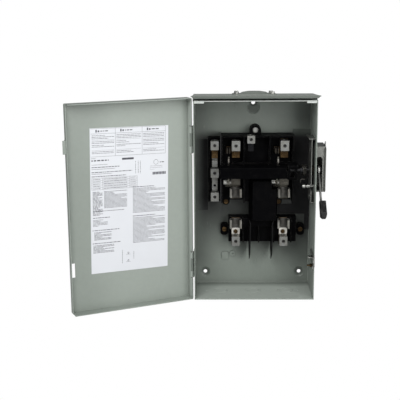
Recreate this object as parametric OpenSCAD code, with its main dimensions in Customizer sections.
// Rainproof two-pole fusible safety switch with solid neutral, door open and handle off.
// Frame: origin behind the middle of the box in the wall plane, +X right, +Y into the wall, +Z up.

/* [Enclosure] */
// Width of the box
box_w = 222; // [216:1:235]
// Height of the box below the rain hood
box_h = 372; // [368:1:390]
// Depth from the front edge to the outside of the back panel
box_d = 101.2; // [100:0.2:106]
// Thickness of the painted sheet steel
sheet = 1.5; // [1.2:0.1:1.8]
// How far the mounting pads stand off the back panel
pad_h = 2; // [1.5:0.5:3]
// Distance between the two lower mounting holes
hole_pitch_x = 184; // [170:1:190]
// Radius of a mounting hole
mount_hole_r = 3.6; // [3:0.1:4]

/* [Door] */
// Angle of the open door from closed
door_open = 155.3; // [90:0.1:170]
// Depth of the door's turned edges
door_flange = 21.6; // [19:0.2:24]
// Length of a hinge
hinge_len = 48; // [40:1:56]

/* [Switch] */
// Distance between the two poles
pole_pitch = 90.7; // [88:0.1:93]
// Angle of the blades from closed contacts to open
blade_open = 36; // [30:1:36]
// Distance between the middles of the two fuse clips of a pole
clip_pitch = 60.3; // [59:0.1:61]
// Radius of the fuse ferrule that the clips hold
fuse_r = 10.3; // [9.5:0.1:10.5]

/* [Handle] */
// Turn of the handle from off to on
handle_turn = 90; // [80:1:90]
// Distance from the handle shaft to the end of the grip
handle_reach = 106; // [95:1:112]

/* [Hidden] */

$fn = 48;
touch = 0.05; // gap left between neighbours that bear on each other
run = 0.08; // radial clearance of a turning fit
past = 1; // how far a cutter runs past a face

// Box faces
half_w = box_w / 2;
half_h = box_h / 2;
back_out = -pad_h;
back_in = back_out - sheet;
front = back_out - box_d;
wall_in = half_w - sheet;
seat = back_in - touch; // where the switch parts stand on the back panel
hole_low_z = -half_h + 24.2;
hole_top_z = half_h - 14.5;
pad_r = 10;
dish_r = 8.5; // mouth of the dish that sinks to each mounting hole
top_pad_r = 12;
top_pad_drop = 9; // the top pad's large disc sits this far below its hole
ring_at = [-38.5, -124.6]; // tapped ring for a ground bar
boss_h = 2.6;
rib_x = [-32.4, 37.4]; // short pressed ribs under the top end
knockout_x = [-62, 0, 62];
knockout_y = -52;
knockout_r = 14.3;
knockout_gap = 0.35;

// Rain hood
hood_back_z = half_h + 2;
hood_rise = 7.6;
hood_run = 112;
hood_slope = atan(hood_rise / hood_run);
hood_half_w = half_w + 1.3;
hood_tip_half_w = half_w + 4.1;
hood_lip_z = half_h + 4.9;
hub_y = -36; // middle of the conduit hub opening, along the roof
hub_r = 25;
hub_plate_w = 80;
hub_plate_l = 66;
hub_screw_x = 32.5;
hub_screw_y = 25;
hub_screw_r = 2.4;

// Door and hinges
hinge_x = -half_w - 4;
hinge_y = front + 14.7;
hinge_z = [114, -121.7];
pin_r = 1.6;
knuckle_r = 3.2;
knuckle_len = hinge_len / 2;
door_in = front - 0.5;
door_out = door_in - sheet;
door_left = hinge_x;
door_right = half_w + 4.5;
door_low = -half_h - 2;
door_high = half_h + 4;
door_edge = door_out + door_flange;
slot_x = [106, 112.6];
slot_z = [-122, -95.5];
catch_z = [103, 127];
hasp_screw_at = [-93, -122];
catch_x = door_right + 6;
catch_rivet_z = [113, 122];
catch_t = 1;
catch_rivet_y = -101.3;
hinge_side_edge = hinge_y + 3.4; // the turned edge stays inside the hinge's swing here
free_side_edge = door_out + 9.6; // the free side has a shallow turned edge

// Poles
pole_x = [-33.2, pole_pitch - 33.2];
blade_dx = -14; // blade to the left of its fuse clip
blade_t = 2.5;
blade_gap = 0.2;
jaw_t = 1.5;
pivot_y = -38;
pivot_z = 25;
pivot_r = 2.5;
blade_len = 66;
floor_up = -24; // front face of the upper moulding's floor
floor_low = -25;
terminal_t = 3; // thickness of the line terminals
plate_front = -27; // front face of the other terminals
clip_t = 1.2;
clip_h = 16;
clip_head_r = 3.4;
clip_z_up = 5;
clip_z_low = clip_z_up - clip_pitch;
fuse_y = plate_front - clip_t - fuse_r;
line_screw_z = 78.5;
low_screw_z = -73.4;

// Lugs: front and back faces, and middles
set_r = 3;
line_lug = [-50, floor_up - terminal_t - 2 * touch];
line_lug_z = 95.7;
load_lug = [-47.5, plate_front];
load_lug_z = -88.5;
neutral_bar_front = -26;
neutral_tongue_front = -31;
neutral_lug = [-44, neutral_bar_front - touch];
neutral_x = -72.9;
neutral_z = [95.5, 43.2, -2.5];
neutral_screw_z = [79, 17];
strap_front = -28;
ground_lug = [-46, strap_front - touch];
ground_at = [-5, 107];

// Mouldings
base_left = -61;
base_right = 75;
base_low = -12;
base_high = 114;
wall_t = 3;
shelf_front = -45;
wall_front = -52;
sweep_front = -36; // barriers are cut back to here where the crossbar swings
sweep_z = [36, 88];
load_left = -47;
load_right = 82.7;
load_low = -94.4;
load_high = -45.7;
column_x = [-2, 42];
column_rear_x = [column_x[0] - 6, column_x[1] + 2];
column_front = -56;
column_top = 30;
hinge_notch = [33.6, 13.6]; // corner cut from the column beside the right pole's hinge
fiber = 1;
neutral_left = -85.4;
neutral_right = -62.2;
neutral_floor = -22;
screw_low = [[-51.5, -17.6], [49, -17.6]];
screw_top = [3.8, 122];
crown_seat = -21;
load_screw = [[-54.7, -72.9], [92.3, -73.2]];
ear_front = -14;
load_ear_front = -12;
screw_r = 2.4;
screw_end = back_out - 0.2; // base screws end inside the back panel

// Crossbar, in its own frame: blades upright, pivot at the origin
bar_angle = 18.1; // direction of the bar's middle from the pivot
bar_reach = 44.7;
bar_tilt = 18;
bar_h = 23;
bar_t = 13;
bar_x = [-63, 61];
block_x = [61, 78];
slot_angle = 16.2;
slot_reach = [48.6, 54];

// Handle, in its own frame: lever straight out to the front, shaft at the origin
shaft_y = -56;
shaft_z = 51.5;
shaft_r = 5;
lever_x = [118.5, 121.5];
lever_w = 9.5;
crank_x = [84, 87];
crank_r = 21.3;
crank_angle = 34.2;
crank_pin_r = 3;
plate_x = 102.5; // left face of the mechanism plate
plate_t = 1.5;
anchor = [-66, 23];
pin_body_r = 3.5;
spring_r = 9.5;
wire_r = 1.1;
guard_x = [half_w, 131];
guard_z = [13, 98];
guard_y = [-72, -24];
guard_slot = [114, 124.8]; // across the slot in the guard's front
guard_rivet_z = [22, 88];
guard_rivet_y = -34;
grip_from = 74;
grip_x = [116.7, 128.5];

// Box from its lowest corner a to its highest corner b
module block(a, b) {
    translate(a) cube([b[0] - a[0], b[1] - a[1], b[2] - a[2]]);
}

// Rods along each axis, from one coordinate to another
module rod_x(r, x0, x1, y, z) {
    translate([x0, y, z]) rotate([0, 90, 0]) cylinder(h = x1 - x0, r = r);
}

module rod_y(r, y0, y1, x, z) {
    translate([x, y0, z]) rotate([-90, 0, 0]) cylinder(h = y1 - y0, r = r);
}

module rod_z(r, z0, z1, x, y) {
    translate([x, y, z0]) cylinder(h = z1 - z0, r = r);
}

// Outline in the YZ plane, thickened from x0 to x1
module profile_x(x0, x1) {
    translate([x0, 0, 0]) rotate([90, 0, 90]) linear_extrude(x1 - x0) children();
}

// Outline in the XZ plane, thickened from y0 to y1
module profile_y(y0, y1) {
    translate([0, y1, 0]) rotate([90, 0, 0]) linear_extrude(y1 - y0) children();
}

// Pan head screw facing the front, with a slot
module slotted_screw(x, z, y_seat, head_r, head_h, shank_r, shank_l) {
    difference() {
        rod_y(head_r, y_seat - head_h, y_seat, x, z);
        block([x - head_r - past, y_seat - head_h - past, z - 0.6],
            [x + head_r + past, y_seat - head_h * 0.5, z + 0.6]);
    }
    rod_y(shank_r, y_seat - touch, y_seat + shank_l, x, z);
}

module each_pole() {
    for (x = pole_x) translate([x, 0, 0]) children();
}

module rounded_outline(x0, x1, y0, y1, r) {
    translate([x0 + r, y0]) square([x1 - x0 - 2 * r, y1 - y0]);
    translate([x0, y0 + r]) square([x1 - x0, y1 - y0 - 2 * r]);
    for (x = [x0 + r, x1 - r], y = [y0 + r, y1 - r]) translate([x, y]) circle(r);
}

// ---------- Enclosure ----------

module mounting_spots() {
    for (x = [-hole_pitch_x / 2, hole_pitch_x / 2]) translate([x, 0, hole_low_z]) children();
    translate([0, 0, hole_top_z]) children();
}

module enclosure_shell() {
    corner = 2.5;
    depth_past = 20;
    shaft_hole_r = 8;
    color([0.55, 0.57, 0.55]) difference() {
        union() {
            difference() {
                translate([0, 0, -half_h]) linear_extrude(box_h)
                    rounded_outline(-half_w, half_w, front - depth_past, back_out, corner);
                block([-wall_in, front - 2 * depth_past, -half_h - past],
                    [wall_in, back_in, half_h + past]);
                block([-half_w - past, front - 2 * depth_past, -half_h - past],
                    [half_w + past, front, half_h + past]);
            }
            mounting_spots() rod_y(pad_r, back_out - touch, 0, 0, 0);
            rod_y(top_pad_r, back_out - touch, 0, 0, hole_top_z - top_pad_drop);
            ground_boss();
            for (x = rib_x) block([x - 1.8, back_in - 1.2, 163], [x + 1.8, back_in + touch, 171]);
        }
        mounting_spots() {
            translate([0, back_in, 0]) rotate([-90, 0, 0])
                cylinder(h = pad_h, r1 = dish_r, r2 = mount_hole_r + 0.5);
            rod_y(mount_hole_r, back_in - past, past, 0, 0);
        }
        rod_y(top_pad_r - sheet, back_in - past, -sheet, 0, hole_top_z - top_pad_drop);
        rod_x(shaft_hole_r, wall_in - past, half_w + past, shaft_y, shaft_z);
        rod_y(1.8, back_in - boss_h - past, back_in - 0.3, ring_at[0], ring_at[1]);
        for (p = concat(screw_low, load_screw, [screw_top]))
            rod_y(screw_r + 0.1, back_in - past, back_out + past, p[0], p[1]);
    }
}

// Raised square pad and tapped ring where a ground bar may be fitted
module ground_boss() {
    block([-59.5, back_in - boss_h, -135.6], [-47, back_in + touch, -121.3]);
    rod_y(5.6, back_in - boss_h, back_in + touch, ring_at[0], ring_at[1]);
}

module end_sheet(z0, z1) {
    block([-wall_in + touch, front, z0], [wall_in - touch, back_in - touch, z1]);
}

module bottom_endwall() {
    flange_h = 6;
    weld_r = 2.2;
    weld_depth = 0.4;
    z0 = -half_h;
    color([0.58, 0.6, 0.58]) difference() {
        union() {
            end_sheet(z0, z0 + sheet);
            block([-wall_in + touch, back_in - touch - sheet, z0],
                [wall_in - touch, back_in - touch, z0 + flange_h]);
        }
        for (x = knockout_x)
            rod_z(knockout_r + knockout_gap, z0 - past, z0 + sheet + past, x, knockout_y);
        for (x = [-88, 86], y = [-56, front + 9])
            rod_z(weld_r, z0 + sheet - weld_depth, z0 + sheet + past, x, y);
    }
}

module knockout_discs() {
    step = 1.0;
    ring_cut = 0.5;
    inner_r = 11.1;
    z0 = -half_h;
    color([0.56, 0.58, 0.56]) for (x = knockout_x) difference() {
        union() {
            rod_z(knockout_r, z0, z0 + sheet, x, knockout_y);
            for (turn = [0, 180]) translate([x, knockout_y, z0]) rotate([0, 0, turn])
                block([knockout_r - past, -1.5, 0.2],
                    [knockout_r + knockout_gap - 0.1, 1.5, sheet - 0.2]);
        }
        difference() {
            rod_z(inner_r + ring_cut, z0 + sheet - step, z0 + sheet + past, x, knockout_y);
            rod_z(inner_r, z0 - past, z0 + sheet + 2 * past, x, knockout_y);
        }
    }
}

module top_endwall() {
    tab_l = 18;
    tab_h = 3.2;
    color([0.58, 0.6, 0.58]) difference() {
        union() {
            end_sheet(half_h - sheet, half_h);
            for (side = [-1, 1]) {
                x0 = side * (wall_in - touch);
                x1 = side * (wall_in - tab_l);
                block([min(x0, x1), front, half_h - sheet - tab_h],
                    [max(x0, x1), front + sheet, half_h]);
            }
        }
        roof_frame() {
            rod_z(hub_r, -20, 20, 0, hub_y);
            hub_screw_spots() rod_z(hub_screw_r + 0.6, -20, 20, 0, 0);
        }
    }
}

// Frame lying in the top face of the sloping roof, with its origin on the rear edge
module roof_frame() {
    translate([0, back_out, hood_back_z]) rotate([-hood_slope, 0, 0]) children();
}

module hub_screw_spots() {
    for (x = [-hub_screw_x, hub_screw_x], y = [hub_y - hub_screw_y, hub_y + hub_screw_y])
        translate([x, y, 0]) children();
}

module rain_hood() {
    roof_l = hood_run / cos(hood_slope);
    skirt_front = -80;
    rear_flange = 6;
    lip_front = back_out - hood_run;
    lip_cut = 4.6;
    top_z = hood_back_z + hood_rise;
    color([0.6, 0.62, 0.6]) difference() {
        union() {
            intersection() {
                roof_frame() block([-hood_tip_half_w, -roof_l, -sheet],
                    [hood_tip_half_w, 0, 0]);
                translate([0, 0, half_h - 2 * past]) linear_extrude(hood_rise + 20)
                    polygon([[-hood_half_w, 0], [-hood_half_w, -78],
                        [-hood_tip_half_w, lip_front - past], [hood_tip_half_w, lip_front - past],
                        [hood_half_w, -78], [hood_half_w, 0]]);
            }
            profile_y(lip_front, lip_front + sheet)
                polygon([[-hood_tip_half_w, top_z - 0.2], [hood_tip_half_w, top_z - 0.2],
                    [hood_tip_half_w - lip_cut, hood_lip_z], [lip_cut - hood_tip_half_w, hood_lip_z]]);
            block([-hood_half_w, back_out + touch, hood_back_z - rear_flange],
                [hood_half_w, back_out + touch + 1.2, hood_back_z - 0.1]);
            for (side = [-1, 1]) {
                x0 = side * (half_w + touch);
                x1 = side * hood_half_w;
                profile_x(min(x0, x1), max(x0, x1)) polygon([[back_out + 1.25, hood_back_z - 0.1],
                    [back_out + 1.25, half_h - 4], [skirt_front, half_h - 4],
                    [skirt_front, half_h + 4.6]]);
            }
        }
        roof_frame() {
            rod_z(hub_r, -20, 20, 0, hub_y);
            hub_screw_spots() rod_z(hub_screw_r + 0.2, -20, 20, 0, 0);
        }
    }
}

module hub_closing_plate() {
    color([0.62, 0.64, 0.62]) roof_frame() difference() {
        union() {
            translate([0, 0, touch]) linear_extrude(sheet)
                rounded_outline(-hub_plate_w / 2, hub_plate_w / 2, hub_y - hub_plate_l / 2,
                    hub_y + hub_plate_l / 2, 6);
            dome(touch);
        }
        hub_screw_spots() rod_z(hub_screw_r + 0.2, -past, sheet + 2 * past, 0, 0);
        dome(touch - sheet);
    }
}

// Low round dome of the closing plate, solid down to z0
module dome(z0) {
    translate([0, hub_y, z0]) rotate_extrude()
        polygon([[0, 0], [27.5, 0], [27.5, sheet], [22, 4.6], [12, 6.2], [0, 6.6]]);
}

module hub_plate_screws() {
    flange_r = 4.6;
    hex_r = 3.9;
    seat_z = sheet + 2 * touch;
    color([0.6, 0.6, 0.58]) roof_frame() hub_screw_spots() {
        rod_z(flange_r, seat_z, seat_z + 1, 0, 0);
        translate([0, 0, seat_z]) cylinder(h = 4.2, r = hex_r, $fn = 6);
        rod_z(hub_screw_r, -5, seat_z + touch, 0, 0);
    }
}

// ---------- Hinges and hasp ----------

module each_hinge() {
    for (z = hinge_z) translate([0, 0, z]) children();
}

module box_hinge_leaves() {
    leaf_t = 1.5;
    leaf_back = hinge_y + 24;
    color([0.56, 0.58, 0.56]) each_hinge() difference() {
        union() {
            block([-half_w - touch - leaf_t, hinge_y + 2.6, -hinge_len / 2],
                [-half_w - touch, leaf_back, hinge_len / 2]);
            block([hinge_x, hinge_y, -knuckle_len / 2],
                [-half_w - touch, hinge_y + 3.2, knuckle_len / 2]);
            rod_z(knuckle_r, -knuckle_len / 2, knuckle_len / 2, hinge_x, hinge_y);
        }
        rod_z(pin_r + 0.02, -hinge_len, hinge_len, hinge_x, hinge_y);
    }
}

module hinge_pins() {
    head_r = 2.7;
    color([0.7, 0.7, 0.68]) each_hinge() {
        rod_z(pin_r, -hinge_len / 2 - 2, hinge_len / 2 + 0.6, hinge_x, hinge_y);
        rod_z(head_r, hinge_len / 2 + 0.3, hinge_len / 2 + 1.8, hinge_x, hinge_y);
    }
}

module hasp_staple() {
    plate_x0 = wall_in - touch - 2;
    nose = front - 18.5;
    mid_z = -109.2;
    color([0.8, 0.8, 0.78]) difference() {
        union() {
            profile_x(plate_x0, plate_x0 + 2) polygon([[-62, mid_z - 11], [-62, mid_z + 11],
                [nose + 5, mid_z + 11], [nose, mid_z + 6], [nose, mid_z - 6],
                [nose + 5, mid_z - 11]]);
            block([99.5, -101, -105.8], [plate_x0 + 2, -88, -104.2]);
            block([plate_x0, -101, -127.5], [plate_x0 + 2, -82, -118]);
        }
        rod_x(4.8, plate_x0 - past, plate_x0 + 2 + past, nose + 9.5, mid_z);
        rod_x(1.8, plate_x0 - past, plate_x0 + 2 + past, hasp_screw_at[0], hasp_screw_at[1]);
    }
}

module hasp_screw() {
    x1 = wall_in - touch - 2 - touch;
    color([0.72, 0.58, 0.32]) {
        rod_x(1.75, x1 - 9, x1 + 2, hasp_screw_at[0], hasp_screw_at[1]);
        translate([x1 - 4, hasp_screw_at[0], hasp_screw_at[1]]) rotate([0, 90, 0])
            cylinder(h = 4, r = 3.6, $fn = 6);
    }
}

// ---------- Insulating sheets ----------

module left_liner() {
    x0 = -wall_in + touch;
    color([0.07, 0.07, 0.075]) {
        profile_x(x0, x0 + fiber) polygon([[front + 3, 133], [seat, 102], [seat, -37],
            [front + 3, -18]]);
        block([x0, seat - fiber, -37], [-86.2, seat, 102]);
    }
}

module right_liner() {
    color([0.13, 0.13, 0.135]) {
        block([44.6, seat - fiber, -44.5], [wall_in - touch, seat, base_low - 13]);
        block([base_right + 0.5, seat - fiber, -44.5], [wall_in - touch, seat, 121]);
        block([100.3, seat - fiber, -76], [wall_in - touch, seat, -44]);
    }
}

// ---------- Mouldings ----------

// Vertical barrier on the upper moulding, cut back where the crossbar swings
module barrier_wall(x0) {
    profile_x(x0, x0 + wall_t) polygon([[floor_up + past, base_low], [wall_front, base_low],
        [wall_front, sweep_z[0]], [sweep_front, sweep_z[0]], [sweep_front, sweep_z[1]],
        [wall_front, sweep_z[1]], [wall_front, base_high], [floor_up + past, base_high]]);
}

module switch_base() {
    ear_r = 7;
    crown_r = 10.5;
    crown_front = -30;
    color([0.05, 0.05, 0.055]) difference() {
        union() {
            block([base_left, floor_up, base_low], [base_right, seat, base_high]);
            for (x = [base_left, -19.5, 28.5, base_right - wall_t]) barrier_wall(x);
            block([base_left, shelf_front, base_high - wall_t], [base_right, floor_up, base_high]);
            for (span = [[base_left, -54], [-40, 35.5], [49.5, base_right]])
                block([span[0], sweep_front - 1, 59], [span[1], floor_up, 62]);
            for (p = screw_low) {
                rod_y(ear_r, ear_front, seat, p[0], p[1]);
                block([p[0] - ear_r, ear_front, p[1]], [p[0] + ear_r, seat, base_low + past]);
            }
            rod_y(crown_r, crown_front, seat, screw_top[0], screw_top[1] - 1);
            block([screw_top[0] - crown_r, crown_front, base_high - past],
                [screw_top[0] + crown_r, seat, screw_top[1] - 1]);
            block([-16.6, -40, -12], [column_x[0] + 6, floor_up, 12.6]);
            block([-16.6, -40, 12.5], [28.6, floor_up, column_top + 3]);
        }
        for (p = screw_low) rod_y(screw_r + 0.1, -40, 0, p[0], p[1]);
        rod_y(screw_r + 0.1, -40, 0, screw_top[0], screw_top[1]);
        rod_y(5.6, -40, crown_seat, screw_top[0], screw_top[1]);
        block([column_rear_x[0] - 0.3, -60, -30], [column_rear_x[1] + 0.3, 0, column_top + 3.3]);
        block([ground_at[0] - 7.6, -60, base_high - wall_t - past],
            [ground_at[0] + 7.6, strap_front + 0.5, base_high + past]);
        jaw_pockets();
        terminal_holes();
    }
}

// Pockets in the floor for the line contact jaws
module jaw_pockets() {
    each_pole() block([blade_dx - 7, floor_up - 20, 78], [blade_dx + 7, floor_up + 2, 93]);
}

module centre_barrier() {
    color([0.08, 0.08, 0.085]) difference() {
        union() {
            translate([0, 0, load_high + touch]) linear_extrude(column_top - load_high - touch)
                polygon([[column_rear_x[0], seat], [column_rear_x[0], shelf_front],
                    [column_x[0], column_front], [column_x[1], column_front],
                    [column_rear_x[1], wall_front], [column_rear_x[1], seat]]);
            block([column_rear_x[0], floor_up, column_top - past],
                [column_rear_x[1], seat, column_top + 3]);
        }
        block([hinge_notch[0], column_front - past, hinge_notch[1]],
            [column_rear_x[1] + past, floor_up, column_top + past]);
    }
}

module load_base() {
    ear = [7.5, 12];
    color([0.06, 0.06, 0.065]) difference() {
        union() {
            block([load_left, floor_low, load_low], [load_right, seat, load_high]);
            for (p = load_screw) profile_y(load_ear_front, seat)
                rounded_outline(p[0] - ear[0], p[0] + ear[0], p[1] - ear[1], p[1] + ear[1], 6);
            for (x = [-20, 10, 38.3, load_right - 11])
                block([x, floor_low - 9, load_low], [x + 2.2, floor_low + past, load_high]);
            block([-17.9, -36, load_high - 16], [38.4, floor_low + past, load_high]);
        }
        for (p = load_screw) rod_y(screw_r + 0.1, -40, 0, p[0], p[1]);
        fin_frames() block([-fiber / 2 - 0.1, -past, -79], [fiber / 2 + 0.1, 60, past]);
        terminal_holes();
    }
}

// Frames at the front top edge of each hanging barrier sheet
module fin_frames() {
    for (x = [-5.5, 36.5]) translate([x, -50, load_high - 5.6]) rotate([0, 0, 2.5]) children();
}

module load_barriers() {
    reach = 40;
    drop = 79;
    color([0.3, 0.3, 0.3]) fin_frames() profile_x(-fiber / 2, fiber / 2)
        polygon([[0, 0], [0, -46], [6, -64], [26, -drop], [reach, -60], [reach, 0]]);
}

module line_barrier() {
    color([0.3, 0.3, 0.3]) profile_x(base_left - touch - fiber, base_left - touch)
        polygon([[seat, -14], [-46, -30], [wall_front - 1, -31], [wall_front - 1, sweep_z[0]],
            [sweep_front, sweep_z[0]], [sweep_front, sweep_z[1]], [wall_front - 1, sweep_z[1]],
            [wall_front - 1, 118], [-46, 123], [seat, 116]]);
}

module base_screws() {
    spots = concat(screw_low, load_screw);
    color([0.68, 0.55, 0.32]) for (p = spots) {
        y_seat = (p[1] < load_high ? load_ear_front : ear_front) - touch;
        slotted_screw(p[0], p[1], y_seat, 4.5, 3, screw_r, screw_end - y_seat);
    }
}

module base_top_screw() {
    y_seat = crown_seat - touch;
    color([0.75, 0.75, 0.73])
        slotted_screw(screw_top[0], screw_top[1], y_seat, 5, 3.2, screw_r, screw_end - y_seat);
}

// ---------- Current path ----------

// Clearance holes for every screw that enters the mouldings
module terminal_holes() {
    hole_r = 2.1;
    each_pole() {
        rod_y(hole_r, -40, -12, 0, line_screw_z);
        rod_y(hole_r, -40, -12, 0, low_screw_z);
        rod_y(hole_r, -40, -12, 0, clip_z_up);
        rod_y(hole_r, -40, -12, 0, clip_z_low);
    }
}

module line_terminals() {
    y1 = floor_up - touch;
    y0 = y1 - terminal_t;
    color([0.7, 0.58, 0.36]) each_pole() difference() {
        union() {
            block([-7.9, y0, 70], [7.9, y1, 106]);
            block([blade_dx - 5, y0, 80], [-7, y1, 91]);
            block([-6.5, y0 - 7, 71], [6.5, y0 + past, 85]);
        }
        rod_y(2.1, -50, -12, 0, line_screw_z);
    }
}

// Spring jaws that the blade tips enter
module line_jaws() {
    y1 = floor_up - terminal_t - 2 * touch;
    side = blade_t / 2 + blade_gap;
    color([0.78, 0.76, 0.72]) each_pole() translate([blade_dx, 0, 0]) {
        block([-4.6, y1 - 1.2, 80.5], [4.6, y1, 90.5]);
        for (s = [-1, 1]) {
            x0 = s * side;
            x1 = s * (side + jaw_t);
            block([min(x0, x1), -45, 80.5], [max(x0, x1), y1, 90.5]);
        }
    }
}

module hinge_terminals() {
    y1 = floor_up - touch;
    color([0.5, 0.49, 0.46]) each_pole() difference() {
        union() {
            block([blade_dx - 6, plate_front, 14], [8.5, y1, 33.4]);
            block([-8.4, plate_front, -9], [8.4, y1, 15]);
            block([-9, -44, 21], [8.2, plate_front + past, 33]);
        }
        rod_y(2.1, -50, -12, 0, clip_z_up);
        rod_x(4.6, -12, 9.2, pivot_y, pivot_z);
    }
}

module hinge_jaws() {
    y1 = plate_front - touch;
    ear_r = 6.6;
    side = blade_t / 2 + blade_gap;
    color([0.76, 0.74, 0.7]) each_pole() translate([blade_dx, 0, 0]) difference() {
        union() {
            block([-4.3, y1 - 1.2, pivot_z - ear_r], [4.3, y1, pivot_z + ear_r]);
            for (s = [-1, 1]) {
                x0 = min(s * side, s * (side + jaw_t));
                rod_x(ear_r, x0, x0 + jaw_t, pivot_y, pivot_z);
                block([x0, pivot_y, pivot_z - ear_r], [x0 + jaw_t, y1, pivot_z + ear_r]);
            }
        }
        rod_x(pivot_r + 0.03, -9, 9, pivot_y, pivot_z);
        block([-side, -60, pivot_z - 10], [side, y1 - 1.2, pivot_z + 10]);
    }
}

module pivot_bolts() {
    outer = blade_t / 2 + blade_gap + jaw_t + touch;
    color([0.85, 0.85, 0.83]) each_pole() translate([blade_dx, 0, 0]) {
        rod_x(pivot_r, -outer - 1, outer + 1, pivot_y, pivot_z);
        rod_x(5.4, -outer - 6.5, -outer, pivot_y, pivot_z);
        rod_x(4.3, outer, outer + 2.6, pivot_y, pivot_z);
    }
}

// Fuse clip round the ferrule axis, open to the front, with flared lips
module fuse_clip(z_mid, z_low, z_high) {
    mouth = 48;
    outer = fuse_r + clip_t;
    translate([0, fuse_y, 0]) {
        translate([0, 0, z_mid - clip_h / 2]) linear_extrude(clip_h) {
            difference() {
                circle(outer);
                circle(fuse_r);
                polygon([[0, 0], [-40 * sin(mouth), -40 * cos(mouth)],
                    [40 * sin(mouth), -40 * cos(mouth)]]);
            }
            for (s = [-1, 1]) {
                root = s * (fuse_r + clip_t / 2) * sin(mouth);
                lip_y = -(fuse_r + clip_t / 2) * cos(mouth);
                translate([root, lip_y]) rotate([0, 0, s * 38]) translate([-clip_t / 2, -4])
                    square([clip_t, 4.4]);
            }
        }
        block([-7.5, fuse_r + 0.15, z_low], [7.5, fuse_r + clip_t, z_high]);
    }
}

// Screw hole and the flat that its head bears on
module clip_screw_seat(z) {
    rod_y(1.9, -32, -20, 0, z);
    rod_y(clip_head_r + 0.1, -32, plate_front - clip_t, 0, z);
}

module upper_fuse_clips() {
    color([0.8, 0.79, 0.76]) each_pole() difference() {
        fuse_clip(clip_z_up, clip_z_up - 11, clip_z_up + clip_h / 2);
        clip_screw_seat(clip_z_up);
    }
}

module lower_fuse_clips() {
    side_low = -76;
    side_h = 6;
    color([0.8, 0.79, 0.76]) each_pole() difference() {
        union() {
            fuse_clip(clip_z_low, -79, clip_z_low + clip_h / 2);
            for (s = [-1, 1]) {
                x0 = min(s * 6.3, s * 7.5);
                block([x0, plate_front - side_h, side_low], [x0 + clip_t, plate_front, -62]);
            }
        }
        clip_screw_seat(clip_z_low);
        rod_y(2.2, -32, -20, 0, low_screw_z);
    }
}

module clip_screws() {
    y_seat = plate_front - clip_t - touch;
    color([0.6, 0.6, 0.58]) each_pole() for (z = [clip_z_up, clip_z_low])
        slotted_screw(0, z, y_seat, clip_head_r, 1.6, 1.8, 7);
}

module load_terminals() {
    y1 = floor_low - touch;
    color([0.68, 0.57, 0.36]) each_pole() difference() {
        block([-8, plate_front + touch, -99], [8, y1, -46.5]);
        rod_y(2.1, -50, -12, 0, clip_z_low);
        rod_y(2.1, -50, -12, 0, low_screw_z);
    }
}

// Box lug with a wire way along Z and a set screw hole in its front
module lug(w, h, y_front, y_back, x, z) {
    wire_bore = 4.4;
    y_mid = y_back - wire_bore - 1.6;
    difference() {
        profile_y(y_front, y_back)
            rounded_outline(x - w / 2, x + w / 2, z - h / 2, z + h / 2, 1.2);
        rod_z(wire_bore, z - h, z + h, x, y_mid);
        rod_y(set_r + 0.05, y_front - past, y_mid, x, z);
    }
}

module pole_lugs() {
    color([0.77, 0.78, 0.78]) each_pole() {
        lug(15.8, 19.2, line_lug[0], line_lug[1], 0, line_lug_z);
        lug(15.2, 18.4, load_lug[0], load_lug[1], 0, load_lug_z);
    }
}

module neutral_lugs() {
    color([0.78, 0.79, 0.79]) for (z = neutral_z)
        lug(15.2, 16.8, neutral_lug[0], neutral_lug[1], neutral_x, z);
}

module ground_lug() {
    color([0.78, 0.79, 0.79])
        lug(14.2, 14.6, ground_lug[0], ground_lug[1], ground_at[0], ground_at[1]);
}

// Socket set screw seen in the front of a lug
module set_screw(x, z, y_front) {
    sunk = 3.2;
    length = 3;
    difference() {
        rod_y(set_r, y_front + sunk, y_front + sunk + length, x, z);
        translate([x, y_front + sunk + 2, z]) rotate([90, 0, 0])
            cylinder(h = 4, r = 1.7, $fn = 6);
    }
}

module lug_set_screws() {
    color([0.6, 0.6, 0.6]) {
        each_pole() {
            set_screw(0, line_lug_z, line_lug[0]);
            set_screw(0, load_lug_z, load_lug[0]);
        }
        for (z = neutral_z) set_screw(neutral_x, z, neutral_lug[0]);
        set_screw(ground_at[0], ground_at[1], ground_lug[0]);
    }
}

module terminal_screws() {
    color([0.66, 0.52, 0.3]) {
        each_pole() {
            slotted_screw(0, line_screw_z, floor_up - terminal_t - 7 - 2 * touch, 4, 1.6, 2, 16);
            slotted_screw(0, low_screw_z, plate_front - clip_t - touch, 4, 2.2, 2, 9);
        }
        slotted_screw(neutral_x, neutral_screw_z[0], neutral_tongue_front - touch,
            3.8, 1.8, 2, 12);
    }
}

// ---------- Neutral and ground ----------

module neutral_base() {
    color([0.05, 0.05, 0.055]) difference() {
        union() {
            block([neutral_left, neutral_floor, -15], [neutral_right, seat, 108]);
            block([neutral_left, neutral_floor - 7, -15], [neutral_left + 2.5, seat, 108]);
        }
        for (z = neutral_screw_z) rod_y(2.1, -30, -12, neutral_x, z);
    }
}

module neutral_bar() {
    half_bar = 5.2;
    x0 = neutral_x - half_bar;
    x1 = neutral_x + half_bar;
    color([0.8, 0.8, 0.79]) difference() {
        union() {
            block([x0, neutral_bar_front, -11], [x1, neutral_floor - touch, 104]);
            block([x0, -36, 53], [x1, neutral_bar_front + past, 66]);
            block([x0, neutral_tongue_front, 7], [x1, neutral_bar_front + past, 33]);
        }
        rod_y(2.1, -50, -12, neutral_x, neutral_screw_z[0]);
        rod_y(2.4, -50, -12, neutral_x, neutral_screw_z[1]);
    }
}

module neutral_tongue() {
    color([0.72, 0.62, 0.45]) difference() {
        block([neutral_x - 5.6, neutral_tongue_front, 69.5],
            [neutral_x + 5.6, neutral_bar_front - touch, 86.5]);
        rod_y(2.1, -50, -12, neutral_x, neutral_screw_z[0]);
    }
}

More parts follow.
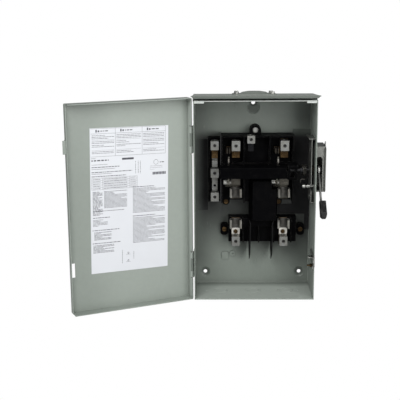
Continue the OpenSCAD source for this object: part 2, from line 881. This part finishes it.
module ground_strap() {
    x = ground_at[0];
    color([0.5, 0.5, 0.5])
        block([x - 5.5, strap_front, 82], [x + 5.5, floor_up - touch, 110.5]);
}

// ---------- Operating mechanism ----------

module mechanism_plate() {
    z0 = -4;
    z1 = 115.5;
    foot_t = 1.5;
    y0 = -90;
    y1 = -42;
    notch = pin_body_r + 0.2;
    color([0.75, 0.75, 0.73]) difference() {
        union() {
            block([plate_x, y0, z0], [plate_x + plate_t, y1, z1]);
            for (z = [z0, z1 - foot_t])
                block([plate_x, y0, z], [wall_in - touch, y1, z + foot_t]);
            block([plate_x - 5, y0, z1 - foot_t], [plate_x + past, y1, z1]);
        }
        rod_x(shaft_r + run, plate_x - past, plate_x + plate_t + past, shaft_y, shaft_z);
        rod_x(notch, plate_x - past, plate_x + plate_t + past, anchor[0], anchor[1]);
        block([plate_x - past, y0 - past, anchor[1] - notch],
            [plate_x + plate_t + past, anchor[0], anchor[1] + notch]);
        for (z = [92, 6]) rod_x(4, plate_x - past, plate_x + plate_t + past, -66, z);
    }
}

// Pin with a rounded head at its left end, standing on the wall through the plate's notch
module anchor_pin() {
    head_x = 88.5;
    head_l = 7;
    head_r = 4;
    edge = 1.4;
    color([0.85, 0.85, 0.83]) {
        rod_x(2.4, head_x + past, wall_in - 2 * past, anchor[0], anchor[1]);
        rod_x(head_r, head_x + edge, head_x + head_l - edge, anchor[0], anchor[1]);
        translate([head_x, anchor[0], anchor[1]]) rotate([0, 90, 0])
            cylinder(h = edge, r1 = head_r - edge, r2 = head_r);
        translate([head_x + head_l - edge, anchor[0], anchor[1]]) rotate([0, 90, 0])
            cylinder(h = edge, r1 = head_r, r2 = head_r - edge);
        rod_x(pin_body_r, 97.5, wall_in - touch, anchor[0], anchor[1]);
    }
}

module shaft_bushing() {
    color([0.68, 0.6, 0.42]) difference() {
        union() {
            rod_x(8 - touch, wall_in - 1.5, half_w + 1.6, shaft_y, shaft_z);
            rod_x(10, wall_in - 1.5, wall_in - touch, shaft_y, shaft_z);
        }
        rod_x(shaft_r + run, wall_in - 3, half_w + 3, shaft_y, shaft_z);
    }
}

// Folded guard on the right side, with a slot in front for the lever
module handle_guard() {
    t = 1.5;
    x0 = guard_x[0] + touch;
    x1 = guard_x[1];
    slot_r = (guard_slot[1] - guard_slot[0]) / 2;
    slot_top = 79;
    color([0.78, 0.78, 0.76]) difference() {
        union() {
            block([x0, guard_y[0], guard_z[0]], [x0 + t, guard_y[1], guard_z[1]]);
            profile_x(x1 - t, x1) polygon([[guard_y[0] - 6, guard_z[0] + 5],
                [guard_y[0] - 6, guard_z[1] - 4], [guard_y[0] + 2, guard_z[1]],
                [guard_y[0] + 6, guard_z[1] + 9], [guard_y[0] + 20, guard_z[1]],
                [guard_y[1], guard_z[1]], [guard_y[1], guard_z[0]], [guard_y[0], guard_z[0]]]);
            for (z = [guard_z[0], guard_z[1] - t])
                block([x0, guard_y[0], z], [x1, guard_y[1], z + t]);
            for (y = [guard_y[0], guard_y[1] - t])
                block([x0, y, guard_z[0]], [x1, y + t, guard_z[1]]);
        }
        rod_x(8.05, x0 - past, x0 + t + past, shaft_y, shaft_z);
        rod_x(4.8, x1 - t - past, x1 + past, guard_y[0] + 12, guard_z[0] + 12);
        block([guard_slot[0], guard_y[0] - past, guard_z[0] + t + 1],
            [guard_slot[1], guard_y[0] + t + past, slot_top - slot_r]);
        rod_y(slot_r, guard_y[0] - past, guard_y[0] + t + past, guard_slot[0] + slot_r,
            slot_top - slot_r);
        for (z = guard_rivet_z) rod_x(2.05, x0 - past, x0 + t + past, guard_rivet_y, z);
    }
}

module guard_rivets() {
    x0 = guard_x[0] + touch + 1.5 + touch;
    color([0.7, 0.7, 0.68]) for (z = guard_rivet_z) {
        rod_x(2, guard_x[0] + 2 * touch, x0 + touch, guard_rivet_y, z);
        rod_x(3.6, x0, x0 + 1.4, guard_rivet_y, z);
    }
}

// Coil round the shaft, one leg hooked on the anchor pin and one behind the crank pin
module torsion_spring() {
    coils = 3;
    pitch = 2.6;
    x0 = 90.4;
    leg_y = shaft_y - spring_r;
    color([0.75, 0.75, 0.75]) {
        for (i = [0 : coils - 1]) translate([x0 + i * pitch, shaft_y, shaft_z])
            rotate([0, 90, 0]) rotate_extrude() translate([spring_r, 0]) circle(wire_r, $fn = 24);
        rod_x(wire_r * 0.9, x0, x0 + (coils - 1) * pitch, leg_y, shaft_z);
        rod_z(wire_r, 36, shaft_z, x0 + pitch, leg_y);
        rod_x(wire_r, 84.5, x0 + pitch, leg_y, 36);
        rod_z(wire_r, 28.4, 36, 84.5, leg_y);
    }
}

// ---------- Door ----------

// Turns what is drawn closed to the open door's place
module door_frame() {
    translate([hinge_x, hinge_y, 0]) rotate([0, 0, -door_open])
        translate([-hinge_x, -hinge_y, 0]) children();
}

module door_pan() {
    corner = 2;
    color([0.62, 0.65, 0.62]) door_frame() difference() {
        profile_y(door_out, door_edge)
            rounded_outline(door_left, door_right, door_low, door_high, corner);
        block([door_left + sheet, door_in, door_low + sheet],
            [door_right - sheet, door_edge + past, door_high - sheet]);
        block([door_left - past, hinge_side_edge, door_low - past],
            [door_left + sheet + touch, door_edge + past, door_high + past]);
        block([door_right - sheet - touch, free_side_edge, door_low - past],
            [door_right + past, door_edge + past, door_high + past]);
        block([slot_x[0], door_out - past, slot_z[0]], [slot_x[1], door_in + past, slot_z[1]]);
        each_hinge() block([door_left - past, hinge_y - 4.5, -hinge_len / 2 - 2.6],
            [door_left + sheet + past, door_edge + past, hinge_len / 2 + 2.4]);
        for (z = catch_rivet_z)
            rod_x(1.65, door_right - sheet - past, door_right + past, catch_rivet_y, z);
    }
}

module door_hinge_leaves() {
    leaf_t = 1.5;
    x1 = door_left - touch;
    color([0.6, 0.63, 0.6]) door_frame() each_hinge() difference() {
        union() {
            block([x1 - leaf_t, door_out + 2, -hinge_len / 2], [x1, hinge_y - 4.5, hinge_len / 2]);
            for (s = [-1, 1]) {
                z0 = s > 0 ? knuckle_len / 2 + 0.4 : -hinge_len / 2;
                z1 = s > 0 ? hinge_len / 2 : -knuckle_len / 2 - 0.4;
                rod_z(knuckle_r, z0, z1, hinge_x, hinge_y);
                block([x1 - leaf_t, hinge_y - 5, z0], [x1, hinge_y - 1, z1]);
            }
        }
        rod_z(pin_r + run, -hinge_len, hinge_len, hinge_x, hinge_y);
    }
}

module door_label() {
    label_w = 147;
    label_h = 264;
    label_t = 0.25;
    label_z = 11;
    skew = 1.2;
    color([0.9, 0.9, 0.93]) door_frame() translate([0, door_in + touch, label_z])
        rotate([0, -skew, 0])
            block([-label_w / 2, 0, -label_h / 2], [label_w / 2, label_t, label_h / 2]);
}

// Tab outside the door's free edge, held back by the lever while the switch is on
module door_catch() {
    x0 = door_right + touch;
    rear = free_side_edge - 1.4;
    color([0.7, 0.72, 0.7]) door_frame() difference() {
        union() {
            block([x0, door_out + 0.4, catch_z[0]], [x0 + catch_t, rear, catch_z[1]]);
            block([x0, rear - catch_t, catch_z[0]], [catch_x, rear, catch_z[1]]);
        }
        for (z = catch_rivet_z) rod_x(1.65, x0 - past, x0 + catch_t + past, catch_rivet_y, z);
    }
}

module catch_rivets() {
    x0 = door_right + touch + catch_t + touch;
    color([0.7, 0.7, 0.68]) door_frame() for (z = catch_rivet_z) {
        rod_x(1.6, door_right - sheet, x0 + touch, catch_rivet_y, z);
        rod_x(2.5, x0, x0 + 1, catch_rivet_y, z);
    }
}

// ---------- Handle ----------

// Turns what is drawn with the lever level to the off place
module handle_frame() {
    translate([0, shaft_y, shaft_z]) rotate([handle_turn / 2, 0, 0]) children();
}

module handle_shaft() {
    color([0.75, 0.75, 0.73]) handle_frame() {
        rod_x(shaft_r, crank_x[0] - 1, 126, 0, 0);
        rod_x(7, 113, lever_x[0] - touch, 0, 0);
    }
}

module handle_lever() {
    hub = 10;
    color([0.8, 0.8, 0.78]) handle_frame() difference() {
        union() {
            rod_x(hub, lever_x[0], lever_x[1], 0, 0);
            block([lever_x[0], 8 - handle_reach, -lever_w / 2], [lever_x[1], 0, lever_w / 2]);
        }
        rod_x(shaft_r + 0.03, lever_x[0] - past, lever_x[1] + past, 0, 0);
    }
}

module handle_grip() {
    root_h = 6;
    tip_h = 8;
    mid_x = (grip_x[0] + grip_x[1]) / 2;
    color([0.09, 0.09, 0.095]) handle_frame() difference() {
        hull() {
            for (s = [-1, 1]) {
                rod_x(2, grip_x[0] + 1.5, grip_x[1] - 1.5, 2 - grip_from, s * (root_h - 2));
                rod_x(3, grip_x[0] + 1.5, grip_x[1] - 1.5, 9 - handle_reach, s * (tip_h - 3));
                rod_x(1.2, grip_x[0], grip_x[1], 3 - grip_from, s * (root_h - 3));
                rod_x(1.8, grip_x[0], grip_x[1], 8 - handle_reach, s * (tip_h - 3.6));
            }
            rod_x(4, mid_x - 3, mid_x + 3, 4 - handle_reach, 0);
        }
        block([lever_x[0] - touch, 8 - handle_reach - touch, -lever_w / 2 - touch],
            [lever_x[1] + touch, past - 60, lever_w / 2 + touch]);
    }
}

module shaft_nut() {
    x0 = lever_x[1] + touch;
    color([0.7, 0.7, 0.68]) handle_frame() difference() {
        union() {
            rod_x(8.4, x0, x0 + 1, 0, 0);
            translate([x0, 0, 0]) rotate([0, 90, 0]) cylinder(h = 4.6, r = 8.2, $fn = 6);
        }
        rod_x(shaft_r + 0.03, x0 - past, x0 + 6, 0, 0);
    }
}

module drive_crank() {
    eye = 6;
    hub = 9;
    color([0.7, 0.7, 0.68]) handle_frame() rotate([crank_angle, 0, 0]) difference() {
        union() {
            rod_x(hub, crank_x[0], crank_x[1], 0, 0);
            rod_x(eye, crank_x[0], crank_x[1], 0, crank_r);
            block([crank_x[0], -eye, 0], [crank_x[1], eye, crank_r]);
        }
        rod_x(shaft_r + 0.03, crank_x[0] - past, crank_x[1] + past, 0, 0);
        rod_x(crank_pin_r + 0.03, crank_x[0] - past, crank_x[1] + past, 0, crank_r);
    }
}

module crank_pin() {
    color([0.82, 0.82, 0.8]) handle_frame() rotate([crank_angle, 0, 0]) {
        rod_x(crank_pin_r, block_x[0] + 1, crank_x[1] + 1, 0, crank_r);
        rod_x(4.6, crank_x[1] + touch, crank_x[1] + 1.6, 0, crank_r);
    }
}

// ---------- Crossbar ----------

// Turns what is drawn with the blades upright to the open place
module bar_frame() {
    translate([0, pivot_y, pivot_z]) rotate([blade_open, 0, 0]) children();
}

// Frame at the middle of the bar's section
module section_frame() {
    translate([0, -bar_reach * sin(bar_angle), bar_reach * cos(bar_angle)])
        rotate([-bar_tilt, 0, 0]) children();
}

module crossbar() {
    color([0.05, 0.05, 0.055]) bar_frame() difference() {
        section_frame() {
            profile_x(bar_x[0], bar_x[1])
                rounded_outline(-bar_t / 2, bar_t / 2, -bar_h / 2, bar_h / 2, 1.5);
            profile_x(block_x[0], block_x[1])
                rounded_outline(-bar_t / 2 - 2, bar_t / 2 + 2, -bar_h / 2 - 1, bar_h / 2 + 6, 2);
        }
        blade_outline(touch);
        each_pole() section_frame() rod_x(1.65, blade_dx - 8, blade_dx + 8, 2, -4);
        each_pole() section_frame() rod_x(1.65, blade_dx - 8, blade_dx + 8, 2, 5);
        rotate([slot_angle, 0, 0]) {
            for (r = slot_reach) rod_x(crank_pin_r + 0.45, 58, 80, 0, r);
            block([58, -crank_pin_r - 0.45, slot_reach[0]], [80, crank_pin_r + 0.45, slot_reach[1]]);
        }
        section_frame() block([65.5, -bar_t, -7], [73.5, -2, 12]);
    }
}

// Blades with their ears in the bar, grown by a gap on every side
module blade_outline(gap) {
    width = 6;
    half_t = blade_t / 2 + gap;
    each_pole() profile_x(blade_dx - half_t, blade_dx + half_t) {
        circle(width + gap);
        polygon([[-width - gap, 0], [-width - gap, blade_len - 6],
            [-width + 3, blade_len + gap], [width - 3, blade_len + gap],
            [width + gap, blade_len - 6], [width + gap, 0]]);
        polygon([[0, 32 - gap], [-16 - gap, 36 - gap], [-18 - gap, 50 + gap], [0, 53 + gap]]);
    }
}

module switch_blades() {
    color([0.82, 0.81, 0.78]) bar_frame() difference() {
        blade_outline(0);
        each_pole() {
            rod_x(pivot_r + run, blade_dx - 5, blade_dx + 5, 0, 0);
            section_frame() for (h = [-4, 5]) rod_x(1.65, blade_dx - 5, blade_dx + 5, 2, h);
        }
    }
}

module blade_pins() {
    color([0.8, 0.8, 0.78]) bar_frame() section_frame() each_pole()
        for (h = [-4, 5]) rod_x(1.6, blade_dx - 7.5, blade_dx + 7.5, 2, h);
}

enclosure_shell();
bottom_endwall();
top_endwall();
knockout_discs();
rain_hood();
hub_closing_plate();
hub_plate_screws();
box_hinge_leaves();
hinge_pins();
hasp_staple();
hasp_screw();
left_liner();
right_liner();
switch_base();
centre_barrier();
load_base();
line_barrier();
load_barriers();
base_screws();
base_top_screw();
line_terminals();
line_jaws();
hinge_terminals();
hinge_jaws();
pivot_bolts();
upper_fuse_clips();
lower_fuse_clips();
clip_screws();
load_terminals();
pole_lugs();
neutral_lugs();
ground_lug();
lug_set_screws();
terminal_screws();
neutral_base();
neutral_bar();
neutral_tongue();
ground_strap();
mechanism_plate();
anchor_pin();
shaft_bushing();
handle_guard();
guard_rivets();
torsion_spring();
door_pan();
door_hinge_leaves();
door_label();
door_catch();
catch_rivets();
handle_shaft();
handle_lever();
handle_grip();
shaft_nut();
drive_crank();
crank_pin();
crossbar();
switch_blades();
blade_pins();
